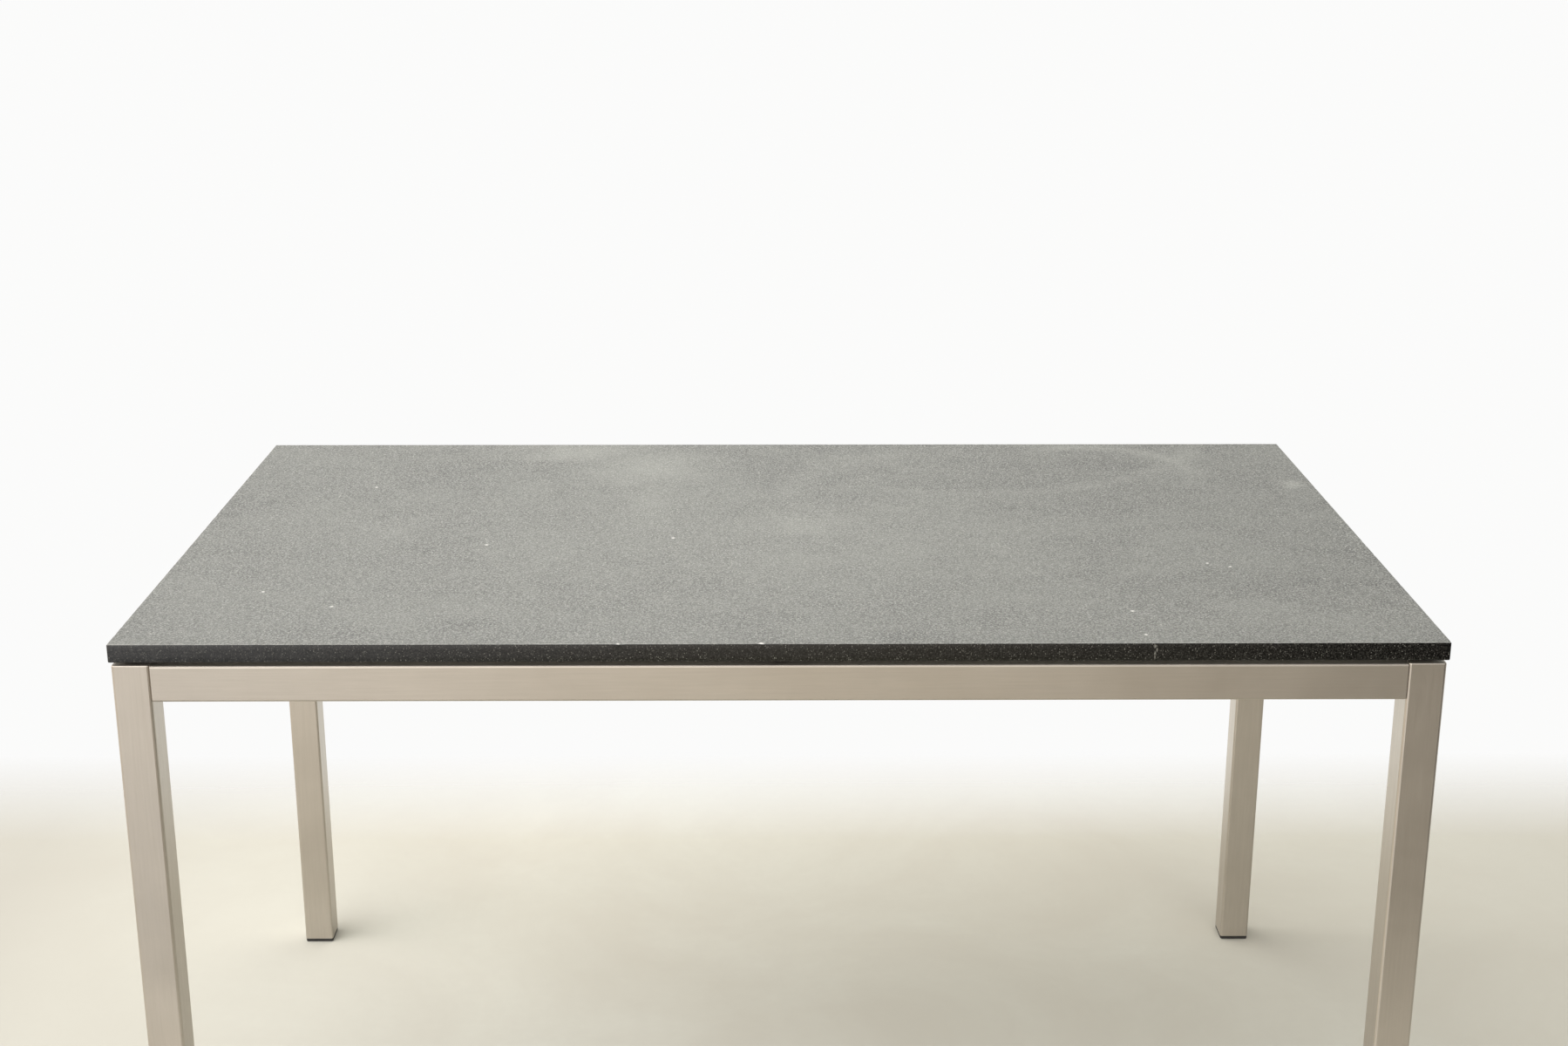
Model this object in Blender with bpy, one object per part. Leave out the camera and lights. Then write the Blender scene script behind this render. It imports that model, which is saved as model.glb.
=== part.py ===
"""Granite slab table: a granite slab that lies loose on a bolted frame of steel tube.

Units are metres and +Z is up. The origin is on the floor under the middle of the slab, +X runs
along the slab's length and +Y along its width. Each corner of the frame is drawn in axes of its
own: Z is the leg's centre line, and the two rails leave along the corner's +X and +Y. An empty
turns the corner into place, so all four corners are made of the same pieces.
"""

import math

import bpy

# The slab.
SLAB_LENGTH = 1.400
SLAB_WIDTH = 0.800
SLAB_THICKNESS = 0.020
SLAB_ARRIS = 0.0012
SLAB_CORNER_RADIUS = 0.0018
TABLE_HEIGHT = 0.750

# How the slab sits on the frame.
SLAB_OVERHANG = 0.002
SHADOW_GAP = 0.004
TOUCH_GAP = 0.0003

# Legs, of square tube with a plate welded over the top.
LEG_SIDE = 0.040
LEG_WALL = 0.002
LEG_CORNER_RADIUS = 0.0028
LEG_CAP_THICKNESS = 0.003
LEG_TOP_ROUNDING = 0.0012

# Rails, of rectangular tube that stands on edge, half as deep as the legs are wide.
RAIL_HEIGHT = 0.040
RAIL_DEPTH = LEG_SIDE / 2
RAIL_WALL = 0.002
RAIL_CORNER_RADIUS = 0.0022
RAIL_DROP = 0.0008

# Corner brackets, of bent plate that wraps the inner corner of a leg.
BRACKET_THICKNESS = 0.003
BRACKET_SHORTFALL = 0.002
BRACKET_HEIGHT = RAIL_HEIGHT - 2 * BRACKET_SHORTFALL
BRACKET_BEND_RADIUS = 0.0015
BRACKET_TAB_LENGTH = 0.056
TAB_SCREW_INSET = 0.009
TAB_SCREW_PITCH = 0.030

# Leg bolts, M8 with a low head, and the rivet nuts that they turn into.
LEG_BOLT_RADIUS = 0.0039
LEG_BOLT_LENGTH = 0.016
LEG_BOLT_HEAD_RADIUS = 0.0063
LEG_BOLT_HEAD_HEIGHT = 0.0044
LEG_BOLT_SOCKET = 0.005
LEG_BOLT_SPACING = 0.016
NUT_BODY_RADIUS = 0.0054
NUT_COLLAR_RADIUS = 0.0062
NUT_COLLAR_LENGTH = 0.0035
NUT_LENGTH = 0.0140
NUT_COLLAR_CLEARANCE = 0.0005
LEG_BOLT_OFFSET = LEG_SIDE / 2 - LEG_WALL - NUT_COLLAR_RADIUS - NUT_COLLAR_CLEARANCE

# Rail screws, M6.
RAIL_SCREW_RADIUS = 0.0029
RAIL_SCREW_LENGTH = 0.012
RAIL_SCREW_HEAD_RADIUS = 0.00525
RAIL_SCREW_HEAD_HEIGHT = 0.0033
RAIL_SCREW_SOCKET = 0.004
HOLE_CLEARANCE = 0.0003

# Cross rail under the middle of the slab, with a plate welded on each end.
END_PLATE_WIDTH = 0.064
END_PLATE_HEIGHT = RAIL_HEIGHT - 2 * BRACKET_SHORTFALL
END_PLATE_THICKNESS = 0.003
END_PLATE_SCREW_INSET = 0.010
VENT_RADIUS = 0.005

# Foot plugs, pushed into the open ends of the legs.
FOOT_FLANGE_HEIGHT = 0.005
FOOT_FLANGE_INSET = 0.0004
FOOT_EDGE_ROUNDING = 0.0008
FOOT_SHANK_HEIGHT = 0.018
FOOT_SHANK_WALL = 0.002
FOOT_RIB_DEPTH = 0.0015
FOOT_RIB_THICKNESS = 0.0016
FOOT_RIBS = 3

# Rubber pads between the frame and the slab.
LEG_PAD_RADIUS = 0.011
CROSS_PAD_RADIUS = 0.007
CROSS_PAD_SPACING = 0.380
PAD_EDGE = 0.0006

# Proportions that every screw head and shank share.
HEAD_EDGE_HEIGHT = 0.25
HEAD_SHOULDER = (0.8, 0.75)
HEAD_CROWN_RADIUS = 0.5
SOCKET_FLOOR_HEIGHT = 0.35
TIP_CHAMFER = 0.25

# How finely round shapes are drawn.
CORNER_STEPS = 3
FASTENER_SIDES = 12
PAD_SIDES = 20
BEND_STEPS = 3
SHARP_ANGLE = 35
LEAST_RADIUS = 0.0004

# Levels, and the spans between the legs' centre lines, worked out from the sizes above.
SLAB_BOTTOM = TABLE_HEIGHT - SLAB_THICKNESS
LEG_TOP = SLAB_BOTTOM - SHADOW_GAP
LEG_BOTTOM = FOOT_FLANGE_HEIGHT
RAIL_MID = LEG_TOP - RAIL_DROP - RAIL_HEIGHT / 2
CROSS_MID = LEG_TOP - RAIL_HEIGHT / 2
UPPER_BOLT = LEG_TOP - LEG_CAP_THICKNESS - NUT_COLLAR_RADIUS - NUT_COLLAR_CLEARANCE
LOWER_BOLT = UPPER_BOLT - LEG_BOLT_SPACING
LEG_SPAN_X = SLAB_LENGTH - 2 * SLAB_OVERHANG - LEG_SIDE
LEG_SPAN_Y = SLAB_WIDTH - 2 * SLAB_OVERHANG - LEG_SIDE

# In a corner's own axes: the leg's inner faces, the rails' inner faces and the bracket on them.
LEG_FACE = LEG_SIDE / 2
RAIL_FACE = RAIL_DEPTH - LEG_SIDE / 2
BRACKET_ON_LEG = LEG_FACE + TOUCH_GAP
BRACKET_ON_RAIL = RAIL_FACE + TOUCH_GAP
TAB_END = BRACKET_ON_LEG + BRACKET_TAB_LENGTH
TAB_SCREWS = (TAB_END - TAB_SCREW_INSET - TAB_SCREW_PITCH, TAB_END - TAB_SCREW_INSET)
END_PLATE_SCREWS = END_PLATE_WIDTH / 2 - END_PLATE_SCREW_INSET


def clear_scene():
    for obj in list(bpy.data.objects):
        bpy.data.objects.remove(obj)


def finish(name, colour, roughness, metallic):
    """A material with one Principled BSDF."""
    material = bpy.data.materials.new(name)
    material.use_nodes = True
    shader = material.node_tree.nodes["Principled BSDF"]
    shader.inputs["Base Color"].default_value = (*colour, 1.0)
    shader.inputs["Roughness"].default_value = roughness
    shader.inputs["Metallic"].default_value = metallic
    return material


# ---------------------------------------------------------------- outlines and skins


def rounded_rectangle(width, depth, radius, steps=CORNER_STEPS):
    """Points of a rectangle with round corners, anticlockwise, about its middle."""
    points = []
    for quarter, (sx, sy) in enumerate(((1, 1), (-1, 1), (-1, -1), (1, -1))):
        centre_x = sx * (width / 2 - radius)
        centre_y = sy * (depth / 2 - radius)
        for step in range(steps + 1):
            angle = math.radians(90) * (quarter + step / steps)
            points.append((centre_x + radius * math.cos(angle), centre_y + radius * math.sin(angle)))
    return points


def circle(radius, sides):
    turns = [2 * math.pi * i / sides for i in range(sides)]
    return [(radius * math.cos(a), radius * math.sin(a)) for a in turns]


def hexagon(across_flats, sides):
    """A hexagon with as many points as a circle of that many sides, so that the two can be joined."""
    points = []
    for i in range(sides):
        angle = 2 * math.pi * i / sides
        from_flat = (angle % math.radians(60)) - math.radians(30)
        radius = across_flats / 2 / math.cos(from_flat)
        points.append((radius * math.cos(angle), radius * math.sin(angle)))
    return points


def skin(levels, closed=False):
    """Points and faces over (outline, height) levels of equal length.

    The levels run up the outside of a solid. Both ends are capped, unless the levels close on
    themselves, as those of an open tube do.
    """
    count = len(levels[0][0])
    points = [(x, y, z) for outline, z in levels for x, y in outline]
    bands = len(levels) if closed else len(levels) - 1
    faces = []
    for band in range(bands):
        low = band * count
        high = (band + 1) % len(levels) * count
        for i in range(count):
            j = (i + 1) % count
            faces.append((low + i, low + j, high + j, high + i))
    if not closed:
        faces.append(tuple(reversed(range(count))))
        faces.append(tuple(range(len(points) - count, len(points))))
    return points, faces


def inset_levels(width, depth, radius, profile):
    """Levels of a rounded rectangle from a profile of (inset, height) pairs."""
    return [
        (rounded_rectangle(width - 2 * inset, depth - 2 * inset, max(radius - inset, LEAST_RADIUS)), z)
        for inset, z in profile
    ]


def turned_levels(profile, sides):
    """Levels of a turned piece from a profile of (radius, height) pairs."""
    return [(circle(radius, sides), z) for radius, z in profile]


def laid_along_x(points):
    """Turns a shape drawn upwards so that it runs along X, with its width along Y."""
    return [(z, x, y) for x, y, z in points]


# ---------------------------------------------------------------- objects


def new_mesh(name, points, faces, material=None):
    mesh = bpy.data.meshes.new(name)
    mesh.from_pydata(points, [], faces)
    mesh.shade_smooth()
    mesh.set_sharp_from_angle(angle=math.radians(SHARP_ANGLE))
    if material:
        mesh.materials.append(material)
    return mesh


def place_mesh(name, mesh, parent=None, place=(0, 0, 0), turn=(0, 0, 0)):
    """An object that shows the mesh. The turn is in degrees."""
    obj = bpy.data.objects.new(name, mesh)
    bpy.context.scene.collection.objects.link(obj)
    obj.parent = parent
    obj.location = place
    obj.rotation_euler = [math.radians(a) for a in turn]
    return obj


def add_object(name, points, faces, material=None, parent=None, place=(0, 0, 0), turn=(0, 0, 0)):
    return place_mesh(name, new_mesh(name, points, faces, material), parent, place, turn)


def add_empty(name, parent=None, place=(0, 0, 0), turn_z=0):
    return place_mesh(name, None, parent, place, (0, 0, turn_z))


def cut_round_holes(target, holes, parent=None, place=(0, 0, 0), turn=(0, 0, 0)):
    """Cuts holes given as (start, direction letter, length, radius), in the cutter's own axes."""
    points = []
    faces = []
    for start, direction, length, radius in holes:
        rod_points, rod_faces = skin(turned_levels([(radius, 0), (radius, length)], FASTENER_SIDES))
        if direction == "x":
            rod_points = laid_along_x(rod_points)
        if direction == "y":
            rod_points = [(y, z, x) for x, y, z in rod_points]
        first = len(points)
        points += [tuple(a + b for a, b in zip(start, point)) for point in rod_points]
        faces += [tuple(first + i for i in face) for face in rod_faces]
    cutter = add_object(target.name + "_holes", points, faces, None, parent, place, turn)
    cutter.hide_render = True
    cutter.display_type = "WIRE"
    boolean = target.modifiers.new("holes", "BOOLEAN")
    boolean.operation = "DIFFERENCE"
    boolean.object = cutter


# ---------------------------------------------------------------- pieces


def socket_screw_skin(head_radius, head_height, socket, shank_radius, shank_length):
    """A button-head screw with a hexagon socket, its shank down and its head above z = 0."""
    sides = FASTENER_SIDES
    tip_chamfer = shank_radius * TIP_CHAMFER
    shoulder_radius, shoulder_height = HEAD_SHOULDER
    levels = turned_levels(
        [
            (shank_radius - tip_chamfer, -shank_length),
            (shank_radius, -shank_length + tip_chamfer),
            (shank_radius, 0),
            (head_radius, 0),
            (head_radius, head_height * HEAD_EDGE_HEIGHT),
            (head_radius * shoulder_radius, head_height * shoulder_height),
            (head_radius * HEAD_CROWN_RADIUS, head_height),
        ],
        sides,
    )
    levels.append((hexagon(socket, sides), head_height))
    levels.append((hexagon(socket, sides), head_height * SOCKET_FLOOR_HEIGHT))
    return skin(levels)


def rivet_nut_skin():
    """A rivet nut set in a leg wall: z = 0 is the leg's face, and the body lies behind it."""
    bore = LEG_BOLT_RADIUS + HOLE_CLEARANCE
    collar_top = -LEG_WALL - TOUCH_GAP
    profile = [
        (NUT_BODY_RADIUS, -NUT_LENGTH),
        (NUT_BODY_RADIUS, collar_top - NUT_COLLAR_LENGTH),
        (NUT_COLLAR_RADIUS, collar_top - NUT_COLLAR_LENGTH),
        (NUT_COLLAR_RADIUS, collar_top),
        (NUT_BODY_RADIUS, collar_top),
        (NUT_BODY_RADIUS, 0),
        (bore, 0),
        (bore, -NUT_LENGTH),
    ]
    return skin(turned_levels(profile, FASTENER_SIDES), closed=True)


def leg_skin():
    """A square tube, open below and closed above by a welded plate ground round at its edge."""
    rounding = LEG_TOP_ROUNDING
    half_way = rounding * (1 - math.cos(math.radians(45)))
    profile = [
        (LEG_WALL, LEG_TOP - LEG_CAP_THICKNESS),
        (LEG_WALL, LEG_BOTTOM),
        (0, LEG_BOTTOM),
        (0, LEG_TOP - rounding),
        (half_way, LEG_TOP - half_way),
        (rounding, LEG_TOP),
    ]
    return skin(inset_levels(LEG_SIDE, LEG_SIDE, LEG_CORNER_RADIUS, profile))


def foot_plug_skin():
    """A plastic plug: a flange on the floor and a hollow shank with ribs that grip the tube."""
    rib_inset = LEG_WALL + TOUCH_GAP
    core_inset = rib_inset + FOOT_RIB_DEPTH
    flange_top = FOOT_FLANGE_HEIGHT - TOUCH_GAP
    shank_top = flange_top + FOOT_SHANK_HEIGHT
    pitch = FOOT_SHANK_HEIGHT / FOOT_RIBS
    profile = [
        (FOOT_FLANGE_INSET + FOOT_EDGE_ROUNDING, 0),
        (FOOT_FLANGE_INSET, FOOT_EDGE_ROUNDING),
        (FOOT_FLANGE_INSET, flange_top),
        (core_inset, flange_top),
    ]
    for rib in range(FOOT_RIBS):
        rib_bottom = flange_top + pitch * (rib + 0.5)
        profile += [
            (core_inset, rib_bottom),
            (rib_inset, rib_bottom),
            (core_inset, rib_bottom + FOOT_RIB_THICKNESS),
        ]
    profile += [
        (core_inset, shank_top),
        (core_inset + FOOT_SHANK_WALL, shank_top),
        (core_inset + FOOT_SHANK_WALL, flange_top),
    ]
    return skin(inset_levels(LEG_SIDE, LEG_SIDE, LEG_CORNER_RADIUS, profile))


def pad_skin(radius):
    thickness = SHADOW_GAP - 2 * TOUCH_GAP
    profile = [
        (radius - PAD_EDGE, 0),
        (radius, PAD_EDGE),
        (radius, thickness - PAD_EDGE),
        (radius - PAD_EDGE, thickness),
    ]
    return skin(turned_levels(profile, PAD_SIDES))


def tube_skin(length):
    """The rails' stock, along X and about its own middle, open at both ends."""
    profile = [
        (0, -length / 2),
        (0, length / 2),
        (RAIL_WALL, length / 2),
        (RAIL_WALL, -length / 2),
    ]
    levels = inset_levels(RAIL_DEPTH, RAIL_HEIGHT, RAIL_CORNER_RADIUS, profile)
    points, faces = skin(levels, closed=True)
    return laid_along_x(points), faces


def bend(centre, radius, start, sweep):
    """Points of an arc in plan. Angles are in degrees."""
    angles = [math.radians(start + sweep * step / BEND_STEPS) for step in range(BEND_STEPS + 1)]
    return [(centre[0] + radius * math.cos(a), centre[1] + radius * math.sin(a)) for a in angles]


def bracket_skin():
    """A bracket in a corner's own axes, about the rails' middle height.

    In plan it runs in along one rail, round the leg's inner corner and out along the other rail.
    The side towards the leg and rails is drawn first, and the room side comes back.
    """
    plate = BRACKET_THICKNESS
    tight = BRACKET_BEND_RADIUS
    wide = tight + plate
    rail, leg = BRACKET_ON_RAIL, BRACKET_ON_LEG
    inward_bend = (leg + wide, rail + wide)
    wrap = (leg + plate - wide, leg + plate - wide)
    frame_side = (
        [(TAB_END, rail)]
        + bend(inward_bend, wide, 270, -90)
        + bend(wrap, tight, 0, 90)
        + bend((inward_bend[1], inward_bend[0]), wide, 270, -90)
        + [(rail, TAB_END)]
    )
    room_side = (
        [(rail + plate, TAB_END)]
        + bend((inward_bend[1], inward_bend[0]), tight, 180, 90)
        + bend(wrap, wide, 90, -90)
        + bend(inward_bend, tight, 180, 90)
        + [(TAB_END, rail + plate)]
    )
    outline = list(reversed(frame_side + room_side))
    return skin([(outline, -BRACKET_HEIGHT / 2), (outline, BRACKET_HEIGHT / 2)])


def add_slab(material):
    arris = SLAB_ARRIS
    profile = [
        (arris, SLAB_BOTTOM),
        (0, SLAB_BOTTOM + arris),
        (0, TABLE_HEIGHT - arris),
        (arris, TABLE_HEIGHT),
    ]
    levels = inset_levels(SLAB_LENGTH, SLAB_WIDTH, SLAB_CORNER_RADIUS, profile)
    lift_axis = add_empty("slab_lift_axis")
    add_object("granite_slab", *skin(levels), material, lift_axis)


def add_corner(side, x, y, turn_z, finishes, shared):
    """A leg with its foot plug, pad, bracket, bolts, rivet nuts and the screws into both rails."""
    corner = add_empty("corner_" + side, place=(x, y, 0), turn_z=turn_z)
    bolt_seat = BRACKET_ON_LEG + BRACKET_THICKNESS + TOUCH_GAP
    screw_seat = BRACKET_ON_RAIL + BRACKET_THICKNESS + TOUCH_GAP
    out_along_x, out_along_y = (0, 90, 0), (-90, 0, 0)

    leg = add_object("leg_" + side, *leg_skin(), finishes["frame_coat"], corner)
    nut_hole = NUT_BODY_RADIUS + HOLE_CLEARANCE
    past = LEG_WALL * 2
    leg_holes = [
        ((LEG_FACE - past, LEG_BOLT_OFFSET, UPPER_BOLT), "x", 2 * past, nut_hole),
        ((LEG_BOLT_OFFSET, LEG_FACE - past, LOWER_BOLT), "y", 2 * past, nut_hole),
    ]
    cut_round_holes(leg, leg_holes, corner)

    place = (0, 0, RAIL_MID)
    bracket = add_object("bracket_" + side, *bracket_skin(), finishes["zinc"], corner, place)
    bolt_hole = LEG_BOLT_RADIUS + HOLE_CLEARANCE
    screw_hole = RAIL_SCREW_RADIUS + HOLE_CLEARANCE
    reach = 3 * BRACKET_THICKNESS
    before_leg = BRACKET_ON_LEG - BRACKET_THICKNESS
    before_rail = BRACKET_ON_RAIL - BRACKET_THICKNESS
    bracket_holes = [
        ((before_leg, LEG_BOLT_OFFSET, UPPER_BOLT - RAIL_MID), "x", reach, bolt_hole),
        ((LEG_BOLT_OFFSET, before_leg, LOWER_BOLT - RAIL_MID), "y", reach, bolt_hole),
    ]
    for along in TAB_SCREWS:
        bracket_holes.append(((along, before_rail, 0), "y", reach, screw_hole))
        bracket_holes.append(((before_rail, along, 0), "x", reach, screw_hole))
    cut_round_holes(bracket, bracket_holes, corner, place)

    place_mesh("foot_" + side, shared["foot"], corner)
    place_mesh("leg_pad_" + side, shared["leg_pad"], corner, (0, 0, LEG_TOP + TOUCH_GAP))
    leg_fixings = (("leg_bolt", shared["leg_bolt"], bolt_seat), ("rivet_nut", shared["nut"], LEG_FACE))
    for kind, mesh, seat in leg_fixings:
        upper = (seat, LEG_BOLT_OFFSET, UPPER_BOLT)
        lower = (LEG_BOLT_OFFSET, seat, LOWER_BOLT)
        place_mesh(f"{kind}_upper_{side}", mesh, corner, upper, out_along_x)
        place_mesh(f"{kind}_lower_{side}", mesh, corner, lower, out_along_y)
    for number, along in enumerate(TAB_SCREWS, 1):
        first = f"rail_screw_a{number}_{side}"
        second = f"rail_screw_b{number}_{side}"
        place_mesh(first, shared["rail_screw"], corner, (along, screw_seat, RAIL_MID), out_along_y)
        place_mesh(second, shared["rail_screw"], corner, (screw_seat, along, RAIL_MID), out_along_x)


def add_rail(side, span, distance, turn_z, material, more_holes=()):
    """A rail between two legs whose centre lines are a span apart, its inner face towards +Y.

    Unturned it is the front rail, and the distance is from the middle of the table to the line
    through those centre lines.
    """
    length = span - LEG_SIDE - 2 * TOUCH_GAP
    turned = add_empty("axis_rail_" + side, turn_z=turn_z)
    place = (0, RAIL_DEPTH / 2 - LEG_SIDE / 2 - distance, RAIL_MID)
    rail = add_object("rail_" + side, *tube_skin(length), material, turned, place)
    screw_hole = RAIL_SCREW_RADIUS + HOLE_CLEARANCE
    wall_back = RAIL_DEPTH / 2 - 2 * RAIL_WALL
    ends = [sign * (span / 2 - along) for sign in (-1, 1) for along in TAB_SCREWS]
    places = [(x, 0) for x in ends] + list(more_holes)
    holes = [((x, wall_back, z), "y", 4 * RAIL_WALL, screw_hole) for x, z in places]
    cut_round_holes(rail, holes, turned, place)


def add_cross_rail(finishes, shared):
    """The rail under the middle of the slab, its end plates screwed to both long rails."""
    plate_face = LEG_SPAN_Y / 2 - RAIL_FACE - TOUCH_GAP
    tube_length = 2 * plate_face - END_PLATE_THICKNESS
    axis = add_empty("axis_cross_rail", place=(0, 0, CROSS_MID), turn_z=90)
    rail = add_object("cross_rail", *tube_skin(tube_length), finishes["frame_coat"], axis)
    for number, sign in enumerate((-1, 1), 1):
        outline = rounded_rectangle(END_PLATE_WIDTH, END_PLATE_HEIGHT, RAIL_CORNER_RADIUS)
        points, faces = skin([(outline, 0), (outline, END_PLATE_THICKNESS)])
        start = plate_face - END_PLATE_THICKNESS if sign > 0 else -plate_face
        points = [(x + start, y, z) for x, y, z in laid_along_x(points)]
        plate = add_object(f"cross_rail_end_plate_{number}", points, faces, None, axis)
        plate.hide_render = True
        plate.display_type = "WIRE"
        joined = rail.modifiers.new(f"end plate {number}", "BOOLEAN")
        joined.operation = "UNION"
        joined.object = plate
    reach = 3 * END_PLATE_THICKNESS
    screw_hole = RAIL_SCREW_RADIUS + HOLE_CLEARANCE
    holes = []
    for start in (-plate_face - END_PLATE_THICKNESS, plate_face - 2 * END_PLATE_THICKNESS):
        holes.append(((start, 0, 0), "x", reach, VENT_RADIUS))
        holes += [((start, y, 0), "x", reach, screw_hole) for y in (-END_PLATE_SCREWS, END_PLATE_SCREWS)]
    cut_round_holes(rail, holes, axis)

    seat = plate_face - END_PLATE_THICKNESS - TOUCH_GAP
    for end, sign in (("front", -1), ("back", 1)):
        for half, x in (("left", -END_PLATE_SCREWS), ("right", END_PLATE_SCREWS)):
            name = f"cross_rail_screw_{end}_{half}"
            screw_place = (x, sign * seat, CROSS_MID)
            place_mesh(name, shared["rail_screw"], None, screw_place, (90 * sign, 0, 0))
        pad_place = (0, sign * CROSS_PAD_SPACING / 2, LEG_TOP + TOUCH_GAP)
        place_mesh("cross_pad_" + end, shared["cross_pad"], None, pad_place)


def main():
    clear_scene()
    finishes = {
        "granite": finish("granite", (0.045, 0.046, 0.047), 0.55, 0.0),
        "frame_coat": finish("champagne_coat", (0.46, 0.41, 0.34), 0.38, 0.85),
        "zinc": finish("zinc_plate", (0.62, 0.62, 0.60), 0.35, 1.0),
        "rubber": finish("black_rubber", (0.02, 0.02, 0.02), 0.8, 0.0),
        "plastic": finish("black_plastic", (0.025, 0.025, 0.024), 0.5, 0.0),
    }
    leg_bolt = socket_screw_skin(
        LEG_BOLT_HEAD_RADIUS,
        LEG_BOLT_HEAD_HEIGHT,
        LEG_BOLT_SOCKET,
        LEG_BOLT_RADIUS,
        LEG_BOLT_LENGTH,
    )
    rail_screw = socket_screw_skin(
        RAIL_SCREW_HEAD_RADIUS,
        RAIL_SCREW_HEAD_HEIGHT,
        RAIL_SCREW_SOCKET,
        RAIL_SCREW_RADIUS,
        RAIL_SCREW_LENGTH,
    )
    shared = {
        "leg_bolt": new_mesh("leg_bolt", *leg_bolt, finishes["zinc"]),
        "rail_screw": new_mesh("rail_screw", *rail_screw, finishes["zinc"]),
        "nut": new_mesh("rivet_nut", *rivet_nut_skin(), finishes["zinc"]),
        "foot": new_mesh("foot_plug", *foot_plug_skin(), finishes["plastic"]),
        "leg_pad": new_mesh("leg_pad", *pad_skin(LEG_PAD_RADIUS), finishes["rubber"]),
        "cross_pad": new_mesh("cross_pad", *pad_skin(CROSS_PAD_RADIUS), finishes["rubber"]),
    }
    x, y = LEG_SPAN_X / 2, LEG_SPAN_Y / 2
    corners = (
        ("front_left", -x, -y, 0),
        ("front_right", x, -y, 90),
        ("back_right", x, y, 180),
        ("back_left", -x, y, 270),
    )
    for side, corner_x, corner_y, turn_z in corners:
        add_corner(side, corner_x, corner_y, turn_z, finishes, shared)

    cross_holes = [(sign * END_PLATE_SCREWS, CROSS_MID - RAIL_MID) for sign in (-1, 1)]
    coat = finishes["frame_coat"]
    add_rail("front", LEG_SPAN_X, y, 0, coat, cross_holes)
    add_rail("right", LEG_SPAN_Y, x, 90, coat)
    add_rail("back", LEG_SPAN_X, y, 180, coat, cross_holes)
    add_rail("left", LEG_SPAN_Y, x, 270, coat)
    add_cross_rail(finishes, shared)
    add_slab(finishes["granite"])


main()
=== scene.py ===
import math
import random

import bmesh
import bpy
from mathutils import Matrix, Vector
from mathutils.noise import noise as noise_at


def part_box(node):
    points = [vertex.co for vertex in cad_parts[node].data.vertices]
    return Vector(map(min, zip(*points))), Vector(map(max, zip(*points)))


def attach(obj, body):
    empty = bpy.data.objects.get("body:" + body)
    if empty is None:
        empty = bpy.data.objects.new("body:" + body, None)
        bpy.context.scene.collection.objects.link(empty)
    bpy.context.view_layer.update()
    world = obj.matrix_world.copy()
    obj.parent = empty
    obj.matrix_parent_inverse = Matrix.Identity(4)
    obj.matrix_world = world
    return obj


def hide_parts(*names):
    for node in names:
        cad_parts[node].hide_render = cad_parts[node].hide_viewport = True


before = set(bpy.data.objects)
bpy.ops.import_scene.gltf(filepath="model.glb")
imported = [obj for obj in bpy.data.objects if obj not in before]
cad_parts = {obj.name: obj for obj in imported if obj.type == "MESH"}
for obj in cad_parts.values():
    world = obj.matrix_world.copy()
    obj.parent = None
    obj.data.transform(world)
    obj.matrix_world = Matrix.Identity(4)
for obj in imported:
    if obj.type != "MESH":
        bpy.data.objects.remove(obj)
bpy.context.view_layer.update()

# Camera: place in metres, turns in radians, lens and film in millimetres.
CAMERA_PLACE = (-0.0122, -2.4776, 1.5213)
CAMERA_TILT = 0.2988
CAMERA_TURN = -0.0076
CAMERA_ROLL = 0.0008
CAMERA_LENS = 48.86
FILM_WIDTH = 36.0

# The table's corners and ends, and the box that the slab fills.
CORNERS = ("front_left", "front_right", "back_right", "back_left")
ENDS = ("front", "back")
SLAB_LOW, SLAB_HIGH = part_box("granite_slab")

# The slab's eased edge: its arris, its upright corners and how finely they are divided.
ARRIS = 0.0012
ARRIS_STEPS = 4
CORNER_RADIUS = 0.0018
CORNER_STEPS = 5
EDGE_PITCH = 0.005
EDGE_LEVELS = (0.35, 0.65)
WELD_DISTANCE = 0.00001

# On average the top lies this much below its highest plane, in soft ripples that start inside a
# level border. Each ripple has its waves per metre along x and along y, a shift and a strength.
TOP_DIP = 0.00006
RIPPLES = ((70, 110, 0.5, 1.0), (16, 25, 4.5, 0.6))
RIPPLE_INSET = 0.006

# Chips on the upper arris: two on the front as (x, half width, depth), and others scattered round
# it with half widths and depths between these.
FRONT_CHIPS = ((-0.169, 0.003, 0.0010), (-0.019, 0.003, 0.0008))
CHIP_SEED = 11
CHIP_COUNT = 34
CHIP_HALF_WIDTHS = (0.003, 0.006)
CHIP_DEPTHS = (0.0002, 0.0006)

# Where each of the slab's finishes stands in its list, and how strongly a painted highlight makes its upper
# arris paler.
HONED, POLISHED, SAWN, LIT_ARRIS = range(4)
ARRIS_HIGHLIGHT = 0.5

# Screws with a low round head, as (shank radius, head height, width across the socket's flats).
LEG_BOLT = (0.0039, 0.0044, 0.0050)
RAIL_SCREW = (0.0029, 0.0033, 0.0040)
SCREW_SIDES = 36
DOME_STEPS = 5

# A screw's outline. The tip and the neck are shares of the shank's radius, the seat's and the
# crown's radii are shares of the head's, and the rim and the socket's floor are shares of its height.
TIP_RADIUS = 0.72
TIP_HEIGHT = 0.28
NECK_RADIUS = 1.06
NECK_HEIGHT = 0.0004
SEAT_RADIUS = 0.97
RIM_HEIGHT = 0.06
CROWN_RADIUS = 0.58
SOCKET_FLOOR = 0.36
MOUTH_RADIUS = 1.06
MOUTH_DEPTH = 0.0002

# Faces that meet more sharply than this keep a crisp edge.
SHARP_ANGLE = math.radians(35)


# ---------------------------------------------------------------- node helpers


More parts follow.
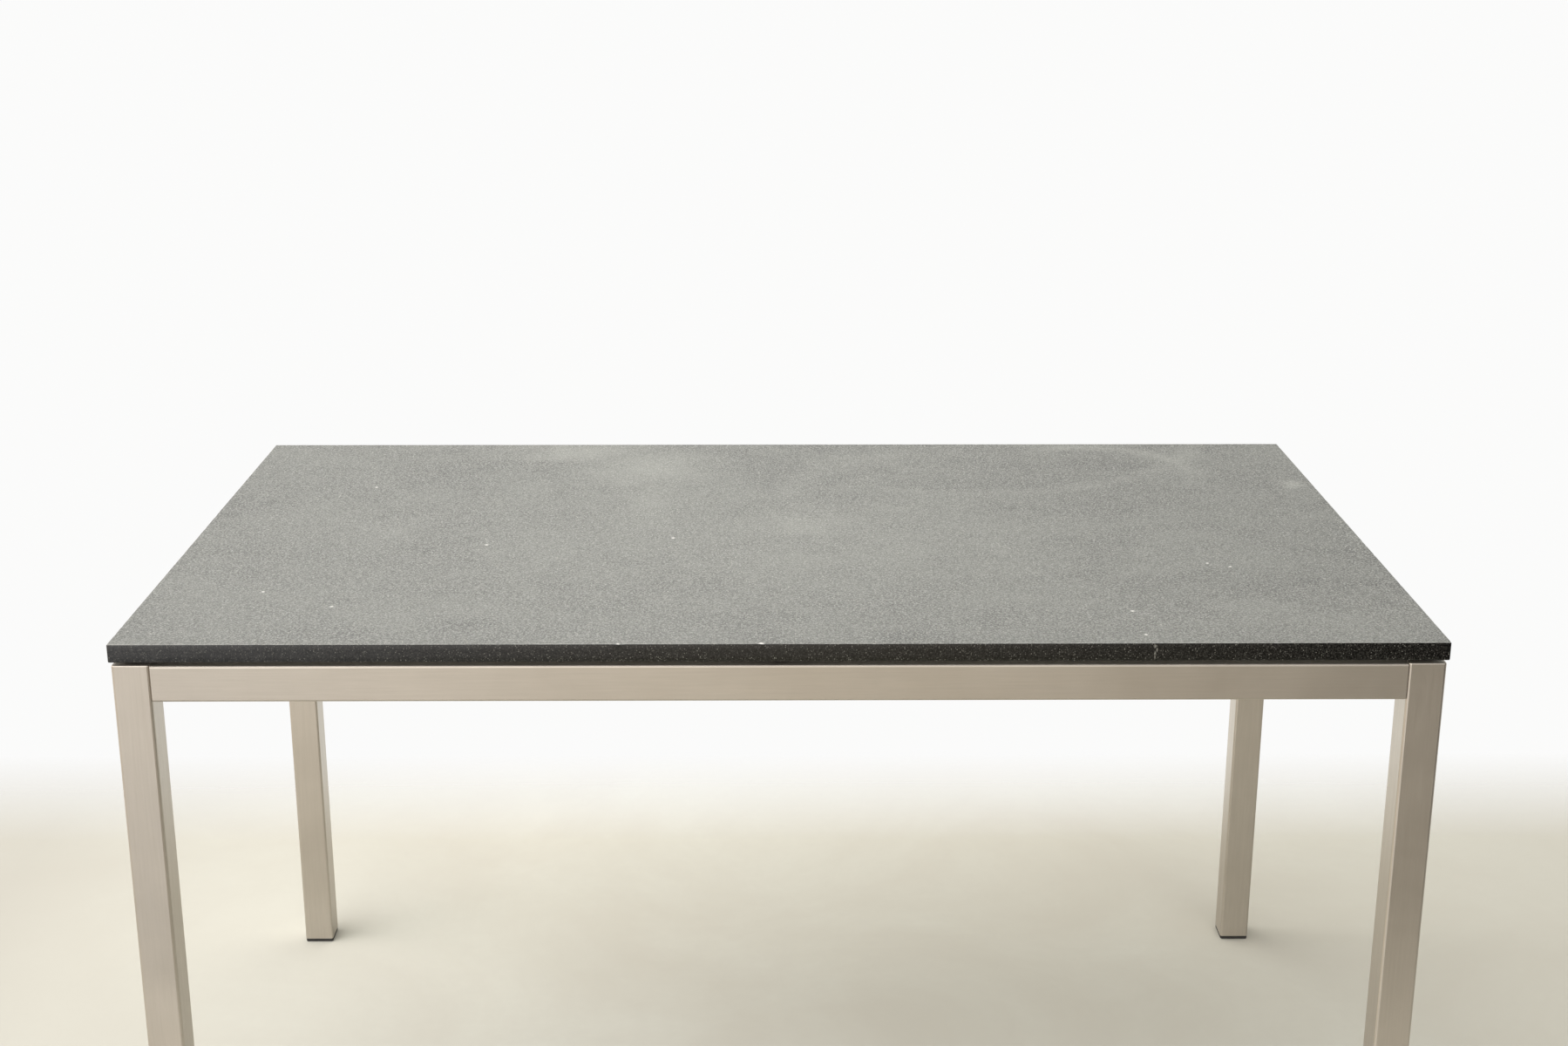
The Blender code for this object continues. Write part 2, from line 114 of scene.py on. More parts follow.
def plug(tree, value, socket):
    """Links a socket's value to another socket, or sets a plain value on it."""
    if isinstance(value, bpy.types.NodeSocket):
        tree.links.new(value, socket)
    else:
        socket.default_value = value


def put(tree, kind, inputs=None, **settings):
    """Adds a node with its settings and inputs."""
    made = tree.nodes.new(kind)
    for key, value in settings.items():
        setattr(made, key, value)
    for key, value in (inputs or {}).items():
        plug(tree, value, made.inputs[key])
    return made


def maths(tree, operation, *values):
    return put(tree, "ShaderNodeMath", dict(enumerate(values)), operation=operation).outputs[0]


def times(tree, first, second):
    return maths(tree, "MULTIPLY", first, second)


def vector_maths(tree, operation, *values, output=0):
    inputs = dict(enumerate(values))
    return put(tree, "ShaderNodeVectorMath", inputs, operation=operation).outputs[output]


def parts_of(tree, vector):
    """A vector's X, Y and Z."""
    return put(tree, "ShaderNodeSeparateXYZ", {0: vector}).outputs


def fit(tree, value, low, high, to_low=0.0, to_high=1.0):
    """Maps a value's range from low to high onto another range, held at both ends."""
    inputs = {"Value": value, "From Min": low, "From Max": high, "To Min": to_low, "To Max": to_high}
    return put(tree, "ShaderNodeMapRange", inputs, clamp=True).outputs[0]


def blend(tree, share, first, second):
    """Mixes two colours."""
    made = put(tree, "ShaderNodeMix", data_type="RGBA", clamp_factor=True)
    plug(tree, share, made.inputs[0])
    for index, colour in ((6, first), (7, second)):
        plain = isinstance(colour, tuple)
        plug(tree, (*colour, 1.0) if plain else colour, made.inputs[index])
    return made.outputs[2]


def noise(tree, where, scale, detail=3.0, roughness=0.55, distortion=0.0):
    inputs = {"Vector": where, "Scale": scale, "Detail": detail}
    inputs |= {"Roughness": roughness, "Distortion": distortion}
    return put(tree, "ShaderNodeTexNoise", inputs).outputs["Fac"]


def stretched(tree, where, factors):
    return put(tree, "ShaderNodeMapping", {"Vector": where, "Scale": factors}).outputs[0]


def new_group(name, inputs, outputs):
    """A shader node group. Inputs and outputs are given as {name: socket type}."""
    tree = bpy.data.node_groups.new(name, "ShaderNodeTree")
    for in_out, sockets in (("INPUT", inputs), ("OUTPUT", outputs)):
        for label, kind in sockets.items():
            tree.interface.new_socket(name=label, in_out=in_out, socket_type="NodeSocket" + kind)
    given = tree.nodes.new("NodeGroupInput").outputs
    made = tree.nodes.new("NodeGroupOutput").inputs
    return tree, given, made


def place_group(tree, group, inputs):
    made = put(tree, "ShaderNodeGroup", node_tree=group)
    for key, value in inputs.items():
        plug(tree, value, made.inputs[key])
    return made.outputs


def new_material(name, **constants):
    """A material with one Principled BSDF. Returns it with its tree, shader and coordinates."""
    material = bpy.data.materials.new(name)
    material.use_nodes = True
    tree = material.node_tree
    shader = tree.nodes["Principled BSDF"]
    for key, value in constants.items():
        shader.inputs[key.replace("_", " ")].default_value = value
    where = put(tree, "ShaderNodeTexCoord").outputs["Object"]
    return material, tree, shader, where


def add_bump(tree, shader, height, strength, distance):
    made = put(tree, "ShaderNodeBump", {"Height": height, "Strength": strength, "Distance": distance})
    tree.links.new(made.outputs[0], shader.inputs["Normal"])


def connect(tree, shader, tone, rough, height, strength, distance):
    """Plugs in a material's colour, roughness and bump."""
    tree.links.new(tone, shader.inputs["Base Color"])
    tree.links.new(rough, shader.inputs["Roughness"])
    add_bump(tree, shader, height, strength, distance)


# ---------------------------------------------------------------- node groups


def make_stone_group():
    """The granite's own pattern: close dark grains, pale crystals and slow cloudy shifts."""
    inputs = {"Where": "Vector", "Grains per metre": "Float", "Crystal share": "Float"}
    labels = ("Grain", "Crystals", "Dark grains", "Cloud", "Height")
    tree, given, made = new_group("stone_pattern", inputs, dict.fromkeys(labels, "Float"))
    where, density = given["Where"], given["Grains per metre"]

    wobble_inputs = {"Vector": where, "Scale": density, "Detail": 2.0}
    wobble = put(tree, "ShaderNodeTexNoise", wobble_inputs).outputs["Color"]
    shift = vector_maths(tree, "SUBTRACT", wobble, (0.5, 0.5, 0.5))
    shift = vector_maths(tree, "MULTIPLY", shift, (0.0014, 0.0014, 0.0014))
    bent = vector_maths(tree, "ADD", where, shift)
    cells = put(tree, "ShaderNodeTexVoronoi", {"Vector": bent, "Scale": density}, feature="F1").outputs
    draw = put(tree, "ShaderNodeSeparateColor", {"Color": cells["Color"]}).outputs

    chosen = maths(tree, "LESS_THAN", draw[0], given["Crystal share"])
    crystals = times(tree, chosen, fit(tree, cells["Distance"], 0.45, 0.2))
    crystals = times(tree, crystals, fit(tree, draw[1], 0.0, 1.0, 0.25, 1.0))
    fine = noise(tree, where, times(tree, density, 0.9), 5.0, 0.7)
    dark = times(tree, fit(tree, draw[2], 0.55, 0.95), fit(tree, cells["Distance"], 0.6, 0.3))
    slow = noise(tree, where, 3.2, 4.0, 0.55, 0.8)
    patch = noise(tree, where, 14.0, 4.0, 0.6, 0.4)
    cloud = maths(tree, "ADD", times(tree, slow, 0.6), times(tree, patch, 0.4))
    height = maths(tree, "SUBTRACT", fine, times(tree, dark, 0.35))
    for label, value in zip(labels, (fine, crystals, dark, cloud, height)):
        tree.links.new(value, made[label])
    return tree


def make_spot_group():
    """A soft ragged spot round a given place, for scuffs, smudges and chips."""
    inputs = {"Where": "Vector", "Place": "Vector", "Stretch": "Vector"}
    inputs |= {"Radius": "Float", "Ragged": "Float"}
    tree, given, made = new_group("ragged_spot", inputs, {"Mask": "Float"})
    away = vector_maths(tree, "SUBTRACT", given["Where"], given["Place"])
    away = vector_maths(tree, "MULTIPLY", away, given["Stretch"])
    length = vector_maths(tree, "LENGTH", away, output="Value")
    share = maths(tree, "ADD", maths(tree, "DIVIDE", length, given["Radius"]), given["Ragged"])
    tree.links.new(fit(tree, share, 1.0, 0.0), made["Mask"])
    return tree


def make_arc_group():
    """A soft arc of a circle, as a wiped cloth leaves. Towards points from its centre to its middle."""
    inputs = {"Where": "Vector", "Centre": "Vector", "Towards": "Vector"}
    inputs |= {"Radius": "Float", "Width": "Float", "Ragged": "Float"}
    tree, given, made = new_group("wiped_arc", inputs, {"Mask": "Float"})
    away = vector_maths(tree, "SUBTRACT", given["Where"], given["Centre"])
    length = vector_maths(tree, "LENGTH", away, output="Value")
    off = maths(tree, "ABSOLUTE", maths(tree, "SUBTRACT", length, given["Radius"]))
    off = maths(tree, "ADD", maths(tree, "DIVIDE", off, given["Width"]), given["Ragged"])
    facing = vector_maths(tree, "DOT_PRODUCT", away, given["Towards"], output="Value")
    swept = fit(tree, maths(tree, "DIVIDE", facing, given["Radius"]), 0.1, 0.8)
    tree.links.new(times(tree, fit(tree, off, 1.0, 0.0), swept), made["Mask"])
    return tree


def make_coat_group():
    """A satin metallic coat: fine flake, faint lines along the tube, slow mottling and small rubs."""
    inputs = {"Where": "Vector", "Line stretch": "Vector"}
    labels = ("Flake", "Lines", "Mottle", "Rubs", "Height")
    tree, given, made = new_group("satin_coat", inputs, dict.fromkeys(labels, "Float"))
    where = given["Where"]
    along = vector_maths(tree, "MULTIPLY", where, given["Line stretch"])
    flake = noise(tree, where, 1500.0, 2.0, 0.6)
    lines = noise(tree, along, 420.0, 4.0, 0.65)
    mottle = noise(tree, where, 7.0, 4.0, 0.6, 0.3)
    turned_inputs = {"Vector": along, "Rotation": (0.1, 0.08, 0.12)}
    turned = put(tree, "ShaderNodeMapping", turned_inputs).outputs[0]
    scratch = fit(tree, noise(tree, turned, 160.0, 2.0, 0.5), 0.72, 0.8)
    rubs = times(tree, scratch, fit(tree, noise(tree, where, 5.0, 2.0), 0.5, 0.65))
    peel = noise(tree, where, 260.0, 2.0, 0.5)
    height = maths(tree, "ADD", times(tree, peel, 0.6), times(tree, lines, 0.4))
    for label, value in zip(labels, (flake, lines, mottle, rubs, height)):
        tree.links.new(value, made[label])
    return tree


def make_dust_group():
    """Settled dust: it gathers on faces that look up, and near the floor."""
    inputs = {"Where": "Vector", "Reach": "Float"}
    tree, given, made = new_group("settled_dust", inputs, {"Mask": "Float"})
    upward = parts_of(tree, put(tree, "ShaderNodeNewGeometry").outputs["Normal"])["Z"]
    height = parts_of(tree, given["Where"])["Z"]
    low = times(tree, fit(tree, height, given["Reach"], 0.0), 0.5)
    lying = times(tree, fit(tree, upward, 0.5, 1.0), 0.8)
    patchy = fit(tree, noise(tree, given["Where"], 60.0, 5.0, 0.7), 0.3, 0.75)
    tree.links.new(times(tree, maths(tree, "MAXIMUM", low, lying), patchy), made["Mask"])
    return tree


STONE = make_stone_group()
SPOT = make_spot_group()
ARC = make_arc_group()
COAT = make_coat_group()
DUST = make_dust_group()


# ---------------------------------------------------------------- marks on the stone

# Marks on the slab's top, in metres from its middle.
# Smudges are (x, y, radius, stretch across, stretch along, strength).
SMUDGES = (
    (-0.270, 0.362, 0.13, 0.8, 1.4, 1.00),
    (-0.172, 0.275, 0.13, 1.0, 0.9, 1.00),
    (-0.160, 0.110, 0.20, 3.0, 0.8, 0.75),
    (0.034, 0.020, 0.12, 0.9, 0.9, 1.00),
    (-0.486, 0.029, 0.08, 0.9, 1.1, 0.45),
    (-0.357, -0.060, 0.07, 0.9, 1.1, 0.40),
    (-0.150, -0.140, 0.07, 0.7, 1.3, 0.40),
    (0.020, -0.080, 0.48, 0.8, 1.3, 0.50),
    (-0.330, -0.310, 0.20, 0.7, 4.0, 0.30),
    (0.080, -0.330, 0.26, 0.6, 4.0, 0.22),
    (0.500, -0.320, 0.32, 0.7, 2.4, 0.45),
    (0.275, -0.255, 0.035, 1.0, 1.0, 0.60),
    (0.673, 0.193, 0.022, 1.1, 0.8, 1.80),
)
# Arcs left by a wiping cloth are (centre x, centre y, radius, width, towards x, towards y, strength).
WIPES = (
    (0.225, 0.140, 0.21, 0.048, -0.80, 0.60, 0.48),
    (0.225, 0.120, 0.155, 0.030, -0.70, 0.70, 0.33),
    (0.425, 0.255, 0.125, 0.024, 0.50, 0.87, 0.95),
    (0.260, 0.490, 0.335, 0.024, 0.72, -0.70, 0.58),
    (-0.300, 0.020, 0.30, 0.060, -0.60, 0.80, 0.14),
    (0.050, -0.350, 0.34, 0.070, 0.20, 0.98, 0.12),
)
# Pale specks and chips are (x, y, radius).
SPECKS = (
    (-0.575, -0.231, 0.0016),
    (-0.489, -0.281, 0.0016),
    (-0.522, 0.187, 0.0018),
    (-0.348, -0.060, 0.0018),
    (-0.127, -0.034, 0.0018),
    (0.383, -0.300, 0.0018),
    (0.385, -0.374, 0.0016),
    (0.497, -0.134, 0.0016),
    (0.521, -0.147, 0.0016),
    (-0.020, -0.399, 0.0024),
    (-0.169, -0.399, 0.0014),
)
# A scuff down the polished front edge is (x, z below the top, half width, half height).
SCUFFS = (
    (0.3903, 0.0035, 0.0014, 0.0022),
    (0.3925, 0.0076, 0.0010, 0.0024),
    (0.3906, 0.0116, 0.0012, 0.0020),
    (0.3906, 0.0156, 0.0008, 0.0026),
)
UNSTRETCHED = (1.0, 1.0, 1.0)


def strongest(tree, masks):
    total = masks[0]
    for mask in masks[1:]:
        total = maths(tree, "MAXIMUM", total, mask)
    return total


def spot(tree, where, place, radius, ragged=0.0, stretch=UNSTRETCHED):
    inputs = {"Where": where, "Place": place, "Stretch": stretch, "Radius": radius, "Ragged": ragged}
    return place_group(tree, SPOT, inputs)["Mask"]


def smudge_masks(tree, where, ragged):
    """Every smudge and wiped arc on the top, in one mask."""
    masks = []
    for x, y, radius, across, along, strength in SMUDGES:
        mask = spot(tree, where, (x, y, SLAB_HIGH.z), radius, ragged, (across, along, 1.0))
        masks.append(times(tree, mask, strength))
    softer = times(tree, ragged, 0.4)
    for x, y, radius, width, to_x, to_y, strength in WIPES:
        inputs = {"Where": where, "Centre": (x, y, SLAB_HIGH.z), "Towards": (to_x, to_y, 0.0)}
        inputs |= {"Radius": radius, "Width": width, "Ragged": softer}
        masks.append(times(tree, place_group(tree, ARC, inputs)["Mask"], strength))
    return strongest(tree, masks)


def speck_masks(tree, where):
    """The pale specks and chips on the top. Each fades out a little past its radius."""
    fade = 1.6
    masks = [spot(tree, where, (x, y, SLAB_HIGH.z), radius * fade) for x, y, radius in SPECKS]
    return strongest(tree, masks)


def scuff_masks(tree, where, ragged):
    """The scuff on the front edge. It stays on the face, whatever lies behind."""
    face = fit(tree, parts_of(tree, where)["Y"], SLAB_LOW.y + 0.004, SLAB_LOW.y + 0.002)
    masks = []
    for x, below, half_width, half_height in SCUFFS:
        place = (x, SLAB_LOW.y, SLAB_HIGH.z - below)
        stretch = (1.0 / half_width, 0.0, 1.0 / half_height)
        masks.append(times(tree, spot(tree, where, place, 1.3, ragged, stretch), face))
    return strongest(tree, masks)


# ---------------------------------------------------------------- materials


def stone_pattern(tree, where, grains_per_metre, crystal_share):
    inputs = {"Where": where, "Grains per metre": grains_per_metre, "Crystal share": crystal_share}
    return place_group(tree, STONE, inputs)


def raggedness(tree, where, scale, detail, roughness, distortion, amount):
    """Noise about nought, to break up the outline of a mark."""
    rough = noise(tree, where, scale, detail, roughness, distortion)
    return times(tree, maths(tree, "SUBTRACT", rough, 0.5), amount)


def honed_top(name, arris_highlight):
    """The slab's top and, made paler by a painted highlight, its upper arris."""
    material, tree, shader, where = new_material(name, Specular_IOR_Level=0.62)
    stone = stone_pattern(tree, where, 505.0, 0.24)
    leather = noise(tree, where, 370.0, 2.0, 0.55)
    streak = noise(tree, stretched(tree, where, (0.45, 1.0, 1.0)), 11.0, 5.0, 0.6, 1.2)
    smudge = smudge_masks(tree, where, raggedness(tree, where, 22.0, 5.0, 0.65, 0.6, 1.6))
    tone = blend(tree, fit(tree, stone["Grain"], 0.40, 0.60), (0.020, 0.020, 0.020), (0.29, 0.30, 0.28))
    tone = blend(tree, fit(tree, leather, 0.50, 0.68, 0.0, 0.80), tone, (0.030, 0.030, 0.030))
    tone = blend(tree, times(tree, stone["Dark grains"], 0.8), tone, (0.016, 0.017, 0.017))
    tone = blend(tree, times(tree, stone["Crystals"], 0.8), tone, (0.58, 0.58, 0.51))
    tone = blend(tree, fit(tree, streak, 0.40, 0.62, 0.0, 0.26), tone, (0.24, 0.25, 0.23))
    tone = blend(tree, fit(tree, stone["Cloud"], 0.38, 0.62, 0.0, 0.20), tone, (0.23, 0.24, 0.22))
    tone = blend(tree, times(tree, smudge, 0.30), tone, (0.36, 0.37, 0.34))
    tone = blend(tree, speck_masks(tree, where), tone, (0.85, 0.84, 0.80))
    if arris_highlight:
        # Painted highlight: the upper arris is made paler, to stand in for the light it catches.
        tone = blend(tree, fit(tree, streak, 0.35, 0.65, 0.2 * arris_highlight, arris_highlight), tone, (0.42, 0.42, 0.39))
    rough = fit(tree, streak, 0.3, 0.7, 0.50, 0.62)
    rough = maths(tree, "ADD", rough, times(tree, smudge, 0.1))
    height = maths(tree, "SUBTRACT", times(tree, stone["Height"], 0.6), leather)
    connect(tree, shader, tone, rough, height, 0.7, 0.0007)
    return material


def polished_edge():
    """The slab's dark glossy edge, duller and, with painted light, paler towards its front left corner, and
    scuffed at the front.
    """
    material, tree, shader, where = new_material("granite_polished", Specular_IOR_Level=0.36)
    stone = stone_pattern(tree, where, 620.0, 0.40)
    cluster = fit(tree, noise(tree, where, 75.0, 4.0, 0.6), 0.38, 0.62, 0.3, 1.0)
    haze_and_painted_light = spot(tree, where, (SLAB_LOW.x, SLAB_LOW.y, SLAB_HIGH.z), 0.55)
    haze_and_painted_light = times(tree, haze_and_painted_light, fit(tree, noise(tree, where, 35.0, 5.0, 0.65), 0.35, 0.65, 0.4, 1.0))
    scuff = scuff_masks(tree, where, raggedness(tree, where, 900.0, 3.0, 0.6, 0.0, 1.2))
    grain = fit(tree, stone["Grain"], 0.45, 0.60)
    tone = blend(tree, grain, (0.001, 0.001, 0.001), (0.019, 0.0185, 0.0165))
    tone = blend(tree, times(tree, stone["Crystals"], cluster), tone, (0.185, 0.183, 0.160))
    # Painted light: the edge is made paler towards the front left corner, where the light comes from; the
    # extra roughness there is a duller polish.
    tone = blend(tree, times(tree, haze_and_painted_light, 0.22), tone, (0.10, 0.10, 0.10))
    tone = blend(tree, times(tree, scuff, 0.45), tone, (0.42, 0.41, 0.36))
    rough = fit(tree, stone["Grain"], 0.3, 0.7, 0.12, 0.22)
    rough = maths(tree, "ADD", rough, times(tree, haze_and_painted_light, 0.15))
    connect(tree, shader, tone, rough, stone["Height"], 0.15, 0.0002)
    return material


def sawn_underside():
    """The slab's dull underside, with the saw's faint lines."""
    material, tree, shader, where = new_material("granite_sawn", Specular_IOR_Level=0.4)
    stone = stone_pattern(tree, where, 520.0, 0.2)
    saw = noise(tree, stretched(tree, where, (0.02, 1.0, 1.0)), 260.0, 3.0)
    tone = blend(tree, fit(tree, stone["Grain"], 0.3, 0.7), (0.12, 0.12, 0.118), (0.21, 0.21, 0.205))
    tone = blend(tree, times(tree, stone["Crystals"], 0.4), tone, (0.4, 0.39, 0.37))
    tone = blend(tree, fit(tree, saw, 0.45, 0.7, 0.0, 0.35), tone, (0.26, 0.26, 0.25))
    rough = fit(tree, stone["Cloud"], 0.3, 0.7, 0.7, 0.85)
    connect(tree, shader, tone, rough, maths(tree, "ADD", stone["Height"], saw), 0.5, 0.0005)
    return material


def satin_coat(name, line_stretch):
    """The frame's champagne coat. Its faint lines run along the axis that is stretched least."""
    material, tree, shader, where = new_material(name, Metallic=0.85, Specular_IOR_Level=0.5)
    coat = place_group(tree, COAT, {"Where": where, "Line stretch": line_stretch})
    dust = place_group(tree, DUST, {"Where": where, "Reach": 0.10})["Mask"]
    mottle = fit(tree, coat["Mottle"], 0.3, 0.7)
    tone = blend(tree, mottle, (0.435, 0.395, 0.340), (0.495, 0.453, 0.392))
    tone = blend(tree, fit(tree, coat["Flake"], 0.35, 0.75, 0.0, 0.35), tone, (0.585, 0.54, 0.472))
    tone = blend(tree, fit(tree, coat["Lines"], 0.35, 0.7, 0.0, 0.25), tone, (0.375, 0.338, 0.286))
    tone = blend(tree, times(tree, coat["Rubs"], 0.25), tone, (0.70, 0.67, 0.62))
    tone = blend(tree, times(tree, dust, 0.35), tone, (0.52, 0.50, 0.46))
    rough = fit(tree, coat["Mottle"], 0.3, 0.7, 0.33, 0.39)
    rough = maths(tree, "ADD", rough, fit(tree, coat["Lines"], 0.3, 0.7, -0.03, 0.05))
    rough = maths(tree, "ADD", rough, times(tree, dust, 0.2))
    connect(tree, shader, tone, rough, coat["Height"], 0.18, 0.0002)
    return material


def zinc_plate(name, base, tint):
    """Bright zinc plating with a cloudy tint and fine drawn lines."""
    material, tree, shader, where = new_material(name, Metallic=1.0)
    cloud = noise(tree, where, 180.0, 4.0, 0.6)
    line = noise(tree, stretched(tree, where, (1.0, 1.0, 0.1)), 900.0, 2.0)
    tone = blend(tree, fit(tree, cloud, 0.35, 0.65), base, tint)
    connect(tree, shader, tone, fit(tree, line, 0.3, 0.7, 0.24, 0.42), cloud, 0.15, 0.0002)
    return material


def black_plastic():
    """The feet's moulded plastic, dusty where it meets the floor."""
    material, tree, shader, where = new_material("foot_plastic", Specular_IOR_Level=0.45)
    grain = noise(tree, where, 900.0, 3.0, 0.6)
    dust = place_group(tree, DUST, {"Where": where, "Reach": 0.008})["Mask"]
    tone = blend(tree, fit(tree, grain, 0.3, 0.7), (0.005, 0.005, 0.005), (0.012, 0.0115, 0.011))
    tone = blend(tree, times(tree, dust, 0.3), tone, (0.25, 0.24, 0.22))
    connect(tree, shader, tone, fit(tree, grain, 0.3, 0.7, 0.45, 0.6), grain, 0.3, 0.0002)
    return material


def black_rubber():
    """The pads' dull rubber."""
    material, tree, shader, where = new_material("pad_rubber", Specular_IOR_Level=0.3)
    grain = noise(tree, where, 700.0, 4.0, 0.7)
    tone = blend(tree, fit(tree, grain, 0.3, 0.7), (0.016, 0.016, 0.016), (0.035, 0.034, 0.033))
    connect(tree, shader, tone, fit(tree, grain, 0.3, 0.7, 0.75, 0.92), grain, 0.4, 0.0003)
    return material


# ---------------------------------------------------------------- pieces


class Shell:
    """A mesh as it is put together: its points, its faces and each face's place among the finishes."""

    def __init__(self):
        self.points = []
        self.faces = []
        self.finishes = []

    def add_points(self, points):
        """Adds points and says where the first of them is."""
        first = len(self.points)
        self.points += points
        return first

    def add_face(self, face, finish):
        self.faces.append(face)
        self.finishes.append(finish)

    def add_band(self, low, high, count, finish):
        """Faces between two rings of points, each given by where its first point is."""
        for i in range(count):
            j = (i + 1) % count
            self.add_face((low + i, low + j, high + j, high + i), finish)


def shade(mesh):
    """Smooth shading, with a crisp edge where faces meet sharply."""
    mesh.shade_smooth()
    mesh.set_sharp_from_angle(angle=SHARP_ANGLE)


def add_piece(name, shell, materials, body, replaced):
    """Makes a piece that stands in for CAD nodes and moves with their body."""
    mesh = bpy.data.meshes.new(name)
    mesh.from_pydata([tuple(point) for point in shell.points], [], shell.faces)
    for material in materials:
        mesh.materials.append(material)
    mesh.polygons.foreach_set("material_index", shell.finishes)
    shade(mesh)
    obj = bpy.data.objects.new(name, mesh)
    bpy.context.scene.collection.objects.link(obj)
    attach(obj, body)
    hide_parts(*replaced)
    return obj


def slab_rim():
    """Points round the slab as seen from above, anticlockwise, each with its outward direction."""
    left, right = SLAB_LOW.x + CORNER_RADIUS, SLAB_HIGH.x - CORNER_RADIUS
    front, back = SLAB_LOW.y + CORNER_RADIUS, SLAB_HIGH.y - CORNER_RADIUS
    corners = ((right, front, -90), (right, back, 0), (left, back, 90), (left, front, 180))
    points = []
    for index, (x, y, start) in enumerate(corners):
        for step in range(CORNER_STEPS + 1):
            angle = math.radians(start + 90 * step / CORNER_STEPS)
            out = Vector((math.cos(angle), math.sin(angle), 0))
            points.append((Vector((x, y, 0)) + out * CORNER_RADIUS, out))
        begin, out = points[-1]
        next_x, next_y, _start = corners[(index + 1) % len(corners)]
        end = Vector((next_x, next_y, 0)) + out * CORNER_RADIUS
        steps = max(1, round((end - begin).length / EDGE_PITCH))
        for step in range(1, steps):
            points.append((begin.lerp(end, step / steps), out))
    return points


def chip_depths(rim):
    """How deep the upper arris is chipped at each point of the rim."""
    draw = random.Random(CHIP_SEED)
    chips = [(Vector((x, SLAB_LOW.y, 0)), half_width, depth) for x, half_width, depth in FRONT_CHIPS]
    for _ in range(CHIP_COUNT):
        place, _out = rim[draw.randrange(len(rim))]
        chips.append((place, draw.uniform(*CHIP_HALF_WIDTHS), draw.uniform(*CHIP_DEPTHS)))
    depths = []
    for place, _out in rim:
        bites = [deep * max(0.0, 1 - (place - centre).length / width) for centre, width, deep in chips]
        depths.append(max(bites))
    return depths


def edge_profile():
    """The slab's edge from the underside up, as (inset, height, share of a chip's depth)."""
    profile = []
    for step in range(ARRIS_STEPS + 1):
        angle = math.radians(90 * step / ARRIS_STEPS)
        profile.append((ARRIS * (1 - math.sin(angle)), SLAB_LOW.z + ARRIS * (1 - math.cos(angle)), 0.0))
    for share in EDGE_LEVELS:
        profile.append((0.0, SLAB_LOW.z + (SLAB_HIGH.z - SLAB_LOW.z) * share, 0.0))
    for step in range(ARRIS_STEPS + 1):
        angle = math.radians(90 * step / ARRIS_STEPS)
        bite = math.sin(2 * angle)
        profile.append((ARRIS * (1 - math.cos(angle)), SLAB_HIGH.z - ARRIS * (1 - math.sin(angle)), bite))
    return profile


def add_edge(shell, rim):
    """Adds the slab's edge with both its arrises. Says where its first and last rings start."""
    profile = edge_profile()
    depths = chip_depths(rim)
    rings = []
    for inset, z, bite in profile:
        ring = []
        for (place, out), depth in zip(rim, depths):
            point = place - out * (inset + depth * bite)
            ring.append((point.x, point.y, z - depth * bite))
        rings.append(shell.add_points(ring))
    for level, (low, high) in enumerate(zip(rings, rings[1:])):
        # The top half of the upper arris takes the finish with the painted highlight.
        highlighted = level >= len(profile) - 1 - ARRIS_STEPS // 2
        shell.add_band(low, high, len(rim), LIT_ARRIS if highlighted else POLISHED)
    return rings[0], rings[-1]


def top_dip(x, y):
    """How far the top lies below its highest plane here, in soft ripples."""
    ripple = 0.0
    for waves_x, waves_y, shift, strength in RIPPLES:
        ripple += strength * noise_at(Vector((x * waves_x, y * waves_y, shift)))
    return TOP_DIP * max(0.0, 1 - ripple)


def add_top(shell, columns, rows):
    """Adds the rippled field of the top, level round its border."""
    field = []
    for x in columns:
        for y in rows:
            inner = columns[0] < x < columns[-1] and rows[0] < y < rows[-1]
            field.append((x, y, SLAB_HIGH.z - (top_dip(x, y) if inner else 0.0)))
    first = shell.add_points(field)
    for i in range(len(columns) - 1):
        for j in range(len(rows) - 1):
            a = first + i * len(rows) + j
            b = a + len(rows)
            shell.add_face((a, b, b + 1, a + 1), HONED)


def add_underside(shell, columns, rows):
    """Adds the flat underside: long strips from front to back, with a fan at each end."""
    strips = []
    for x in columns:
        strips += [(x, rows[0], SLAB_LOW.z), (x, rows[-1], SLAB_LOW.z)]
    base = shell.add_points(strips)
    last = len(columns) - 1
    for i in range(1, last - 1):
        a = base + 2 * i
        shell.add_face((a + 1, a + 3, a + 2, a), SAWN)
    for column, beside, turn in ((0, 1, 1), (last, last - 1, -1)):
        side = shell.add_points([(columns[column], y, SLAB_LOW.z) for y in rows])
        near = base + 2 * beside
        fan = [(near, side + j, side + j + 1) for j in range(len(rows) - 1)]
        fan.append((near, side + len(rows) - 1, near + 1))
        for triangle in fan:
            shell.add_face(triangle[::turn], SAWN)


def stone_slab(materials):
    """The slab: eased arrises with a few small chips, a softly uneven top and a flat underside."""
    shell = Shell()
    rim = slab_rim()
    bottom, top = add_edge(shell, rim)
    inset = Vector((RIPPLE_INSET,) * 3)
    low, high = SLAB_LOW + inset, SLAB_HIGH - inset
    border = []
    for place, _out in rim:
        border.append((min(max(place.x, low.x), high.x), min(max(place.y, low.y), high.y)))
    ring = shell.add_points([(x, y, SLAB_HIGH.z) for x, y in border])
    shell.add_band(top, ring, len(rim), HONED)
    ring = shell.add_points([(x, y, SLAB_LOW.z) for x, y in border])
    shell.add_band(ring, bottom, len(rim), SAWN)
    columns = sorted({round(x, 6) for x, _y in border})
    rows = sorted({round(y, 6) for _x, y in border})
    add_top(shell, columns, rows)
    add_underside(shell, columns, rows)
    made = add_piece("stone_slab", shell, materials, "slab", ["granite_slab"])
    weld = bmesh.new()
    weld.from_mesh(made.data)
    bmesh.ops.remove_doubles(weld, verts=weld.verts, dist=WELD_DISTANCE)
    weld.to_mesh(made.data)
    weld.free()


